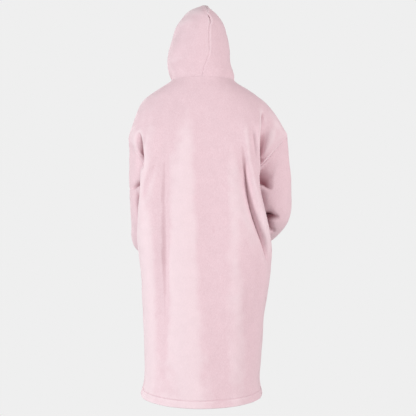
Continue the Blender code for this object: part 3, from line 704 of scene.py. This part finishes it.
# Each row: across, up, depth, width on the right of the garment, width on its left.
FRONT_FOLDS = {
    "middle trough": (
        (1.5, -62.0, 0.0, 2.0, 2.2), (1.0, -72.0, 0.55, 2.0, 2.4), (0.6, -86.0, 0.6, 2.2, 2.6),
        (1.0, -104.0, 0.35, 2.6, 2.8)),
    "right trough": (
        (-9.5, -56.0, 0.0, 1.6, 2.0), (-9.8, -66.0, 0.8, 1.7, 2.2), (-10.4, -80.0, 0.8, 1.9, 2.4),
        (-11.2, -96.0, 0.5, 2.2, 2.8), (-11.6, -106.0, 0.35, 2.4, 3.0)),
    "left trough": (
        (10.5, -57.0, 0.0, 2.0, 1.6), (10.2, -68.0, 0.7, 2.2, 1.7), (10.8, -84.0, 0.75, 2.4, 2.0),
        (11.4, -104.0, 0.4, 2.8, 2.4)),
    "right ridge": (
        (-4.8, -60.0, 0.0, 2.2, 2.2), (-4.8, -72.0, -0.45, 2.2, 2.4), (-5.0, -90.0, -0.45, 2.4, 2.6),
        (-5.2, -106.0, -0.3, 2.6, 2.8)),
    "left ridge": (
        (6.0, -60.0, 0.0, 2.2, 2.2), (5.9, -72.0, -0.4, 2.2, 2.4), (6.0, -90.0, -0.45, 2.4, 2.6),
        (6.3, -106.0, -0.3, 2.6, 2.8)),
    "drag from the right armhole": (
        (-15.0, -27.0, 0.0, 1.2, 1.4), (-11.5, -31.0, 0.6, 1.2, 1.5), (-7.5, -36.0, 0.55, 1.3, 1.6),
        (-3.5, -40.0, 0.0, 1.4, 1.6)),
    "drag from the left armhole": (
        (14.5, -28.0, 0.0, 1.4, 1.2), (11.0, -33.0, 0.55, 1.5, 1.2), (7.0, -38.5, 0.45, 1.6, 1.3),
        (3.5, -42.0, 0.0, 1.6, 1.4)),
    "hollow under the neck": (
        (-9.5, -11.0, 0.0, 2.2, 2.2), (-6.6, -16.6, 0.30, 2.4, 2.4), (0.2, -19.6, 0.45, 2.8, 2.8),
        (6.8, -16.0, 0.28, 2.4, 2.4), (9.6, -10.5, 0.0, 2.2, 2.2)),
    "swag over the forearms": (
        (-8.0, -45.0, 0.0, 1.4, 1.4), (-4.0, -49.0, 0.5, 1.5, 1.5), (0.5, -50.5, 0.6, 1.6, 1.6),
        (5.0, -49.0, 0.45, 1.5, 1.5), (8.5, -45.0, 0.0, 1.4, 1.4)),
}
FRONT_CRISP = 1.8
from_in_front = [(FRONT_CRISP, [(-row[0], *row[1:]) for row in rows]) for rows in FRONT_FOLDS.values()]
press = folded(-front[..., 0], front[..., 2], from_in_front)
for edge in ("first column", "last column", "last row"):
    press = press * smooth(edge_distance(front, edge) / 4)
press = press + unevenness(front, *SWELLS, 5.7) + unevenness(front, *SMALL_SWELLS, 1.4)
hem_press, hem_thick = hemmed(edge_distance(front, "first row"), HEM_DEPTH)
press = press + hem_press
for edge in ("first column", "last column"):
    press = press + seam_dip(edge_distance(front, edge))
press = press + seam_dip(edge_distance(front, "last row"), depth=0.08, width=0.25, welt=0.04)
front = front - normals_of(front) * press[..., None]
side_seam, shoulder_seam = slice(0, underarm_at + 1), slice(tip_at, None)
for rows in (side_seam, shoulder_seam):
    front = brought_to(front, "first column", rows, back[rows, -1])
    front = brought_to(front, "last column", rows, back[rows, 0])
front_piece = sew_cloth("front_of_hoodie", front, FLEECE_THICKNESS + hem_thick)
front_piece.data.materials.append(pink_fleece)
front_stitches = stitching("hem_stitches_of_front", front, normals_of(front), "first row", HEM_DEPTH)
front_stitches.data.materials.append(pink_thread)
for piece in (front_piece, front_stitches):
    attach(piece, "root")
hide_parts("front_panel")


# SLEEVES
# Two wide sleeves of the same fleece, each cut in one piece, closed by a seam under the arm and set into its
# armhole. The arms are bent, so the cloth bunches at the elbows and above the turned and stitched ends.
# Each row: where the middle of the section is, half its width and half its depth.
SLEEVE_SECTIONS = {
    "left": (
        (18.8, -6.6, -40.0, 6.3, 8.2),
        (18.4, -8.2, -47.0, 6.2, 7.9),
        (18.3, -13.4, -52.8, 6.6, 7.3),
        (14.2, -18.6, -54.8, 6.0, 5.9),
        (9.8, -23.4, -56.0, 4.7, 4.7),
    ),
    "right": (
        (22.5, -5.8, -38.2, 8.4, 8.3),
        (22.7, -7.2, -43.6, 8.1, 8.0),
        (20.4, -12.4, -48.2, 7.3, 7.3),
        (15.6, -18.4, -51.6, 6.2, 6.1),
        (10.2, -23.2, -53.8, 4.7, 4.7),
    ),
}
SLEEVE_END_DEPTH = 2.2


def sleeve(side, armhole):
    """Rings from the armhole, through the sleeve's sections, to its open end."""
    mirror = np.array((WORLD_X[side], 1, 1))
    loop = armhole * mirror
    count = len(loop)
    centre = loop.mean(axis=0)
    centres = np.array([centre] + [row[:3] for row in SLEEVE_SECTIONS[side]])
    low, high = UNDERARM[side][2], SHOULDER_TIP[side][2]
    turn = np.arccos(1 - 2 * np.clip((loop[:, 2] - low) / (high - low), 0, 1))
    half = count // 2
    even = np.concatenate([np.arange(half + 1), half - np.arange(1, half)]) * math.pi / half
    toward_back = np.where(np.arange(count) <= half, -1.0, 1.0)
    outward = np.array((1.0, 0.0, 0.0))
    loops = [loop]
    for i, row in enumerate(SLEEVE_SECTIONS[side], start=1):
        ahead = centres[min(i + 1, len(centres) - 1)] - centres[i - 1]
        if i == 1:
            ahead = centres[2] - centres[1] + (0.15, 0.0, 0.0)
        ahead = ahead / np.linalg.norm(ahead)
        outward = outward - ahead * outward.dot(ahead)
        outward = outward / np.linalg.norm(outward)
        forward = np.cross(ahead, outward)
        angle = turn + (even - turn) * min(1.0, i / 3)
        loops.append(centres[i] - np.cos(angle)[:, None] * row[3] * outward
                     + (np.sin(angle) * toward_back)[:, None] * row[4] * forward)
    loops = np.array(loops)
    lengths = np.linalg.norm(np.diff(loops, axis=0), axis=2).mean(axis=1)
    knots = np.concatenate([[0], np.cumsum(lengths)])
    long = knots[-1]
    at = spread((0, 0.5, 4), (0.5, long - 3.0, 140), (long - 3.0, long - 1.6, 10),
                (long - 1.6, long - 0.3, 5), (long - 0.3, long, 4))
    return through(knots, loops, at) * mirror


# Each row: across, up, depth, width on the left, width on the right, as seen from behind.
SLEEVE_CREASES = {
    "left": (
        ((24.6, -36.6, 0.3, 0.3, 0.8), (23.4, -36.1, 1.8, 0.3, 0.8), (22.0, -35.2, 2.8, 0.3, 0.8),
         (19.8, -34.6, 2.8, 0.3, 0.9)),
        ((22.8, -35.8, 0.0, 1.0, 1.0), (22.2, -38.6, 1.4, 1.2, 1.2), (21.6, -41.6, 3.0, 1.1, 1.3),
         (21.2, -43.8, 2.6, 0.9, 1.2), (20.8, -46.4, 0.3, 0.7, 0.9)),
    ),
    "right": (
        ((-18.4, -34.3, 2.6, 0.35, 4.6), (-20.4, -35.0, 2.8, 0.3, 3.4), (-22.0, -35.9, 1.9, 0.3, 2.0),
         (-23.6, -36.6, 0.0, 0.3, 1.2)),
        ((-19.8, -38.0, 0.9, 1.0, 1.0), (-20.6, -40.6, 1.0, 1.0, 1.0), (-21.4, -43.0, 0.5, 1.0, 1.0)),
        ((-20.4, -47.3, 4.4, 0.5, 2.0), (-22.2, -46.9, 5.0, 0.45, 1.9), (-24.0, -46.5, 4.2, 0.4, 1.6),
         (-25.3, -46.2, 2.2, 0.35, 1.0), (-26.4, -45.8, 0.0, 0.3, 0.6)),
        ((-21.2, -47.0, 2.0, 1.2, 1.5), (-22.4, -48.6, 2.6, 1.2, 1.2), (-23.4, -50.2, 0.6, 1.0, 0.9)),
        ((-22.6, -50.3, 1.0, 0.4, 0.9), (-23.8, -50.8, 1.4, 0.35, 0.8), (-25.2, -51.2, 0.0, 0.3, 0.6)),
        ),
}
ARMHOLE_SEAM = 1.6
for side, name in (("left", "left_sleeve"), ("right", "right_sleeve")):
    back_edge, front_edge = (0, -1) if side == "left" else (-1, 0)
    armhole = np.concatenate([back[underarm_at:tip_at + 1, back_edge],
                              front[underarm_at + 1:tip_at, front_edge][::-1]])
    tube = sleeve(side, armhole)
    out = normals_of(tube, True) * turned_out[name]
    press = folded(tube[..., 0], tube[..., 2], [(1.3, rows) for rows in SLEEVE_CREASES[side]])
    press = press * smooth((out[..., 1] + (0.45 if side == "left" else 0.05)) / 0.3)
    press = press * smooth((edge_distance(tube, "first row") - 0.3) / 1.2)
    # The creases get painted shade as deep as they are pressed in.
    least_fold_shade = 0.7 * press
    swell = unevenness(tube, 5.0, 0.22, 2.9) + unevenness(tube, 2.2, 0.07, 6.3)
    press = press + swell * smooth(edge_distance(tube, "first row") / 2.5)
    end_press, end_thick = hemmed(edge_distance(tube, "last row"), SLEEVE_END_DEPTH)
    to_armhole = edge_distance(tube, "first row")
    # The sleeve starts on the body's edge, which is already at the bottom of the seam.
    dip = ARMHOLE_SEAM * seam_dip(to_armhole, welt=0.02)
    on_the_seam = ARMHOLE_SEAM * seam_dip(np.zeros(1))[0] * np.exp(-(to_armhole / 0.1) ** 2)
    press = press + end_press + dip - on_the_seam
    tube = tube - out * press[..., None]
    piece = sew_cloth(name, tube, FLEECE_THICKNESS + end_thick, closed=True, least_fold_shade=least_fold_shade)
    piece.data.materials.append(pink_fleece)
    out = normals_of(tube, True) * turned_out[name]
    stitches = stitching(side + "_sleeve_end_stitches", tube, out, "last row", SLEEVE_END_DEPTH, closed=True)
    stitches.data.materials.append(pink_thread)
    for part in (piece, stitches):
        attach(part, "root")
    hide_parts("sleeve_" + side)


# HOOD
# Two like halves of the same fleece, joined by one seam from the nape over the crown. The hood is sewn round
# the neck, stands open round the face with a turned and stitched edge, and is turned to the wearer's left.
HOOD_COLUMNS = ("rise", "seam_y", "seam_z", "left", "right", "side_y", "side_z", "face_x", "face_y", "face_z")
HOOD_SECTIONS = (
    (0.14, 8.9, 3.8, 10.0, 10.9, 0.2, 2.6, 4.4, -10.4, -3.6),
    (0.30, 9.9, 7.8, 11.4, 9.7, 0.4, 6.4, 7.8, -11.2, 1.0),
    (0.50, 10.6, 12.4, 11.0, 9.3, 0.5, 10.4, 9.2, -11.7, 7.4),
    (0.70, 10.6, 16.4, 9.3, 8.3, 0.5, 15.4, 8.4, -12.0, 13.6),
    (0.87, 10.1, 19.4, 7.4, 6.0, 0.5, 20.6, 5.4, -12.5, 18.4),
    (0.94, 9.7, 20.6, 4.7, 3.2, 0.5, 23.6, 3.0, -12.8, 20.2),
    (1.00, 9.2, 21.4, 0.0, 0.0, 0.5, 25.8, 0.0, -13.0, 21.6),
)
HOOD_TURN = 13.0
FACE_ANGLE = 66.0
FACE_EDGE_DEPTH = 2.0


def hood_half(side, neckline, below):
    """Rows from the neckline up to the seam over the crown, each from centre back to the face edge."""
    mirror = np.array((WORLD_X[side], 1, 1))
    behind = back_columns[:back_middle + 1][::-1] if side == "left" else back_columns[back_middle:]
    ahead = front_columns[front_middle:][::-1] if side == "left" else front_columns[:front_middle + 1]
    rear_angle = abs(behind - BACK_MIDDLE) / BACK_MIDDLE * math.pi / 2
    fore_share = (abs(ahead - ahead[0]) / FRONT_MIDDLE)[1:]
    rows = [neckline]
    for row in HOOD_SECTIONS:
        r = dict(zip(HOOD_COLUMNS, row))
        reach = r[side]
        rear = np.column_stack([reach * np.sin(rear_angle),
                                r["side_y"] + (r["seam_y"] - r["side_y"]) * np.cos(rear_angle),
                                r["seam_z"] + (r["side_z"] - r["seam_z"]) * np.sin(rear_angle)])
        limit = math.radians(FACE_ANGLE)
        angle = fore_share * limit
        fall = (1 - np.cos(angle)) / (1 - math.cos(limit))
        fore = np.column_stack([reach + (r["face_x"] - reach) * fall,
                                r["side_y"] + (r["face_y"] - r["side_y"]) * np.sin(angle) / math.sin(limit),
                                r["side_z"] + (r["face_z"] - r["side_z"]) * fall])
        points = np.concatenate([rear, fore]) * mirror
        turn = math.radians(HOOD_TURN) * float(smooth(row[0] / 0.32))
        x = points[:, 0] * math.cos(turn) - points[:, 1] * math.sin(turn)
        y = points[:, 0] * math.sin(turn) + points[:, 1] * math.cos(turn)
        rows.append(np.column_stack([x, y, points[:, 2]]))
    knots = [-HOOD_SECTIONS[0][0], 0.0] + [row[0] for row in HOOD_SECTIONS]
    at = np.concatenate([spread((0, 0.012, 4), (0.012, 0.98, 78), (0.98, 1.0, 4))])
    return through(knots, np.array([below] + rows), at)


def round_neck(side, row):
    """Half of a row of the body near the neck, from centre back to centre front."""
    if side == "left":
        return np.concatenate([back[row, :back_middle + 1][::-1], front[row, front_middle:][::-1][1:]])
    return np.concatenate([back[row, back_middle:], front[row, :front_middle + 1][1:]])


below_neck = int(np.argmin(abs(body_rows - (NECK_ROW - 1))))
halves = {}
for side, name in (("left", "left_half_of_hood"), ("right", "right_half_of_hood")):
    half = hood_half(side, round_neck(side, -1), round_neck(side, below_neck))
    out = normals_of(half) * turned_out[name]
    press = unevenness(half, 6.0, 0.16, 4.4) + unevenness(half, 2.4, 0.05, 7.7)
    from_neck = edge_distance(half, "first row")
    press = press * smooth(from_neck / 3)
    seams = np.minimum(edge_distance(half, "first column"), edge_distance(half, "last row"))
    face_press, face_thick = hemmed(edge_distance(half, "last column"), FACE_EDGE_DEPTH)
    press = press * smooth(seams / 2) + face_press
    # The centre seam is drawn in more near the top of the back, and has a small kink there.
    top_of_back = np.exp(-((half[..., 2] - 22.0) / 3.5) ** 2) * smooth((half[..., 1] - 2.0) / 4)
    pulled_in = seam_dip(seams, depth=0.16, width=0.24, welt=0.12 if side == "right" else 0.04)
    press = press + pulled_in * (0.15 + 0.85 * smooth((from_neck - 5) / 4)) * (1 + 1.4 * top_of_back)
    kink = np.exp(-((half[..., 2] - 19.0) / 1.6) ** 2 - (seams / 2.5) ** 2) * (half[..., 1] > 0)
    half[..., 0] -= 0.5 * kink
    press = press * smooth(edge_distance(half, "first row") / 0.8)
    half = half - out * press[..., None]
    if side == "right":
        half = brought_to(half, "first column", slice(None), halves["left"][:, 0])
    halves[side] = half
    piece = sew_cloth(name, half, FLEECE_THICKNESS + face_thick)
    piece.data.materials.append(pink_fleece)
    out = normals_of(half) * turned_out[name]
    stitches = stitching(side + "_face_edge_stitches", half, out, "last column", FACE_EDGE_DEPTH)
    stitches.data.materials.append(pink_thread)
    for part in (piece, stitches):
        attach(part, "root")
    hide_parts("hood_" + side)


# FLOOR, LIGHT AND CAMERA
# The hoodie stands over a round pale floor that fades out, in front of a pale background. Of four soft lights
# the strongest stands behind its left shoulder. The camera looks level at the back from 3.3 m.
FLOOR_RADIUS = 1.3
FLOOR_HEIGHT = -1.425
FLOOR_CORNERS = 96
floor_mesh = bpy.data.meshes.new("floor")
ring = [(FLOOR_RADIUS * math.cos(a), FLOOR_RADIUS * math.sin(a), FLOOR_HEIGHT)
        for a in np.linspace(0, 2 * math.pi, FLOOR_CORNERS + 1)[:-1]]
floor_mesh.from_pydata(ring, [], [tuple(range(FLOOR_CORNERS))])
floor = bpy.data.objects.new("floor", floor_mesh)
bpy.context.scene.collection.objects.link(floor)
floor_paint, nodes, shader = new_material("pale_floor")
shader.inputs["Base Color"].default_value = (0.80, 0.80, 0.80, 1)
shader.inputs["Roughness"].default_value = 0.9
place = add(nodes, "TexCoord")
flat = add(nodes, "VectorMath", {1: (1, 1, 0)})
flat.operation = "MULTIPLY"
far = add(nodes, "VectorMath")
far.operation = "LENGTH"
fade = add(nodes, "MapRange", {"From Min": 0.45, "From Max": 1.1, "To Min": 0.55, "To Max": 0.0})
fade.interpolation_type = "SMOOTHSTEP"
join(floor_paint.node_tree, (place, "Object", flat, 0), (flat, "Vector", far, 0),
     (far, "Value", fade, "Value"), (fade, "Result", shader, "Alpha"))
floor.data.materials.append(floor_paint)

scene = bpy.context.scene
scene.view_settings.view_transform = "Standard"
scene.view_settings.look = "None"
world = bpy.data.worlds.new("pale_room")
world.use_nodes = True
nodes = world.node_tree.nodes
room = nodes["Background"]
room.inputs["Color"].default_value = (1.0, 0.97, 0.97, 1)
room.inputs["Strength"].default_value = 0.42
wall = add(nodes, "Background", {"Color": (0.863, 0.863, 0.863, 1)})
seen = add(nodes, "LightPath")
either = add(nodes, "MixShader")
join(world.node_tree, (seen, "Is Camera Ray", either, "Fac"), (room, "Background", either, 1),
     (wall, "Background", either, 2), (either, "Shader", nodes["World Output"], "Surface"))
scene.world = world


def soft_light(name, power, colour, size, spot, aim):
    lamp = bpy.data.lights.new(name, "AREA")
    lamp.energy = power
    lamp.color = colour
    lamp.shape = "RECTANGLE"
    lamp.size, lamp.size_y = size
    thing = bpy.data.objects.new(name, lamp)
    scene.collection.objects.link(thing)
    thing.location = spot
    thing.rotation_euler = (Vector(aim) - Vector(spot)).to_track_quat("-Z", "Y").to_euler()


soft_light("key_light", 78.0, (0.93, 1.0, 1.0), (0.9, 1.4), (2.8, 1.9, -0.4), (0.0, 0.0, -0.6))
soft_light("camera_side_light", 38.0, (1.0, 0.98, 0.98), (1.2, 1.2), (-0.4, 3.6, 0.3), (0.0, 0.0, -0.6))
soft_light("right_light", 56.0, (1.0, 0.98, 0.98), (1.0, 1.6), (-3.1, 1.2, -0.2), (0.0, 0.0, -0.4))
soft_light("front_light", 70.0, (1.0, 1.0, 1.0), (2.0, 2.0), (1.4, -3.0, 0.2), (0.0, 0.0, -0.6))

CAMERA_SPOT = (-0.0204, 3.3, -0.4284)
SENSOR_WIDTH = 36.0
PICTURE_WIDTH = 416
METRES_IN_A_PIXEL = 0.0034
camera = bpy.data.cameras.new("camera")
camera.sensor_width = SENSOR_WIDTH
camera.lens = SENSOR_WIDTH * CAMERA_SPOT[1] / (PICTURE_WIDTH * METRES_IN_A_PIXEL)
camera_stand = bpy.data.objects.new("camera", camera)
scene.collection.objects.link(camera_stand)
camera_stand.location = CAMERA_SPOT
camera_stand.rotation_euler = (math.radians(90), 0.0, math.radians(180))
scene.camera = camera_stand
